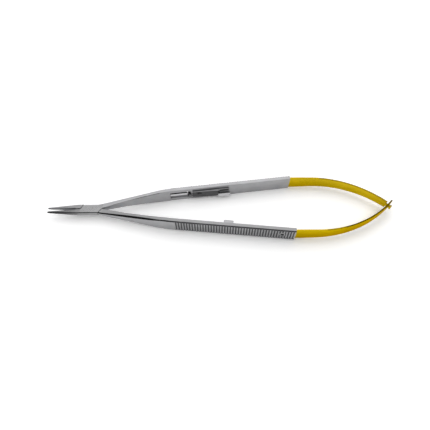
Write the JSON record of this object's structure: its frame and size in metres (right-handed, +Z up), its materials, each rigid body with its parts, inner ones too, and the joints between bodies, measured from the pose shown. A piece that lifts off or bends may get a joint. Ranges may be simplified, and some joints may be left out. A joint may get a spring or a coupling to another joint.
{
  "type": "surgical needle holder",
  "caption": "Locking micro needle holder with spring handles: box-lock jaws, serrated flat arms, a lock lever with a catch, and crossing leaf springs.",
  "frame": {"origin": "on the resting plane, under the centre of the bounding box, midway between the two arms", "axes": "+X along the instrument towards the crossing springs, with the jaws at -X; +Y towards the arm that carries the lock lever; +Z up, along the box-lock pin"},
  "size_m": [0.1396, 0.0266, 0.0068],
  "materials": {
    "satin_steel": "satin",
    "polished_steel": "polished",
    "dark_steel": "satin, dark",
    "carbide": "fine cross-cut, matte",
    "gold_plate": "gold plating, satin"
  },
  "bodies": {
    "near_half": {"lower_arm": "satin_steel", "upper_jaw_insert": "carbide", "lower_leaf_spring": "gold_plate", "lower_spring_rivet": "satin_steel", "catch_hook": "satin_steel"},
    "far_half": {"upper_arm": "satin_steel", "joint_pin": "satin_steel", "lower_jaw_insert": "carbide", "upper_leaf_spring": "gold_plate", "upper_spring_rivet": "satin_steel", "latch_pivot_rivet": "dark_steel", "latch_return_spring": "polished_steel"},
    "latch": {"latch_lever": "dark_steel"}
  },
  "joints": [
    {"name": "arm_pivot", "type": "hinge", "parent": "near_half", "child": "far_half", "pos_m": [-0.052, 0, 0.0034], "axis": [0, 0, -1], "range_deg": [0, 4.2], "stiffness_Nm_per_rad": 3.5, "deforming": ["upper_leaf_spring", "lower_leaf_spring"]},
    {"name": "latch_swing", "type": "hinge", "parent": "far_half", "child": "latch", "pos_m": [-0.00845, 0.00711, 0.0034], "axis": [-0.1089, 0.9941, 0], "range_deg": [-4, 4], "stiffness_Nm_per_rad": 0.2}
  ]
}
